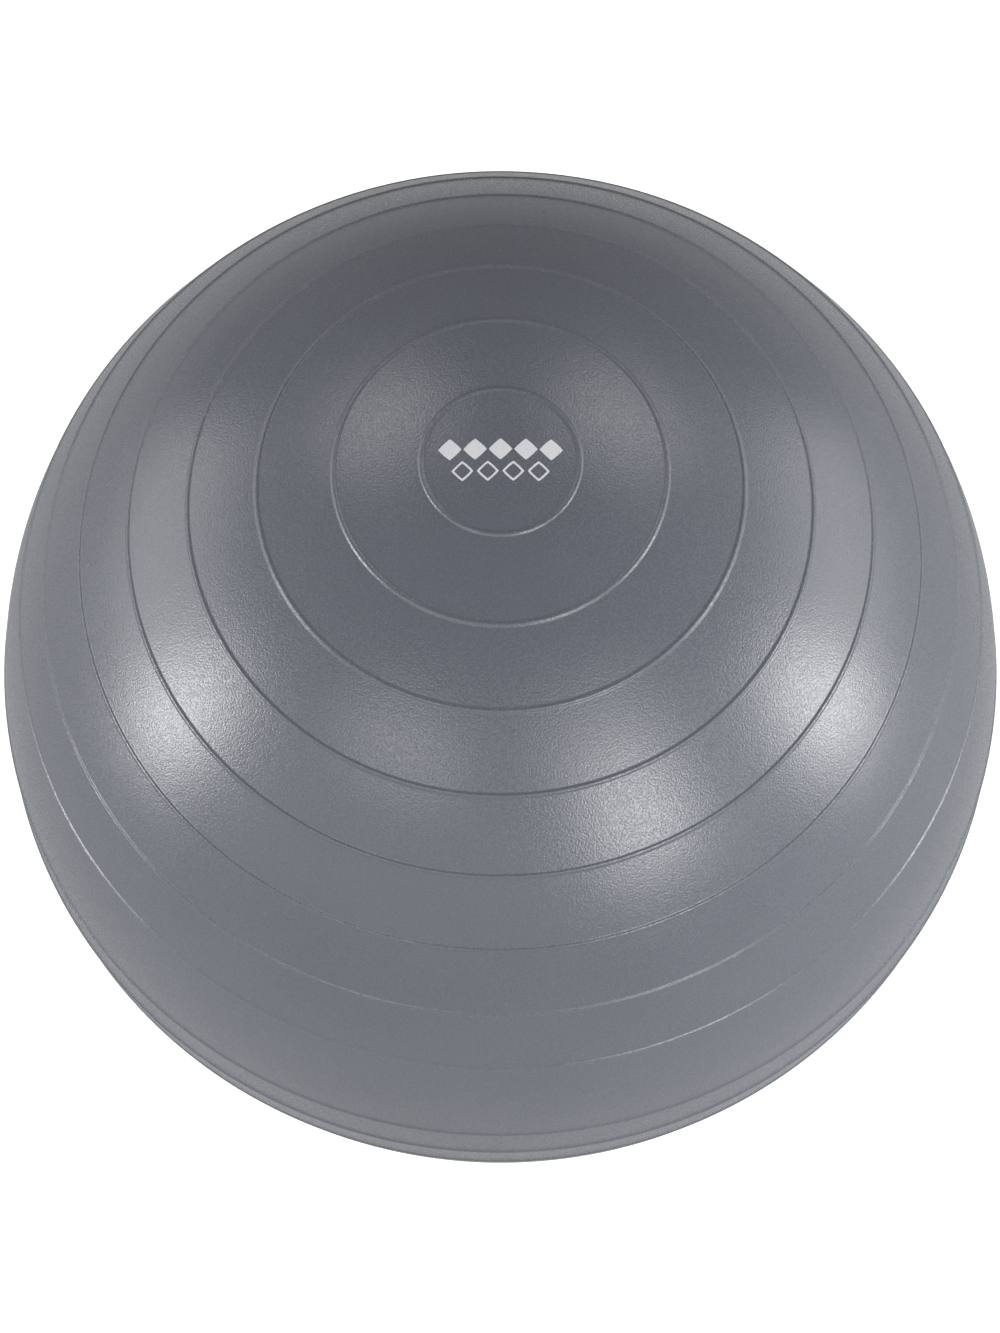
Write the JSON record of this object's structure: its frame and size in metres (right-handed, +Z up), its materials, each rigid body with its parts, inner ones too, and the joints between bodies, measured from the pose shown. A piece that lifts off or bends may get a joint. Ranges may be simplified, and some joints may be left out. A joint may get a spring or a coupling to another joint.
{
  "type": "exercise ball",
  "caption": "Inflatable exercise ball with a finely ribbed soft skin, a valve seat set in its wall and a pull-out plug that holds the air in.",
  "frame": {"origin": "middle of the flat patch on which the ball rests on the floor", "axes": "+Z up, along the axis that the ribs circle; +Y towards the side that holds the valve; the pictured front is the -Y side"},
  "size_m": [0.6516, 0.6516, 0.6484],
  "materials": {
    "skin_vinyl": "satin grey moulded vinyl with a fine grain",
    "seat_vinyl": "matt dark grey moulded vinyl",
    "plug_plastic": "satin white plastic"
  },
  "bodies": {
    "ball": {"ball_skin": "skin_vinyl", "valve_seat": "seat_vinyl"},
    "plug": {"valve_plug": "plug_plastic"}
  },
  "joints": [
    {"name": "plug_pull", "type": "slide", "parent": "ball", "child": "plug", "axis": [0, 0.9688, 0.2478], "range_m": [0, 0.03]}
  ]
}
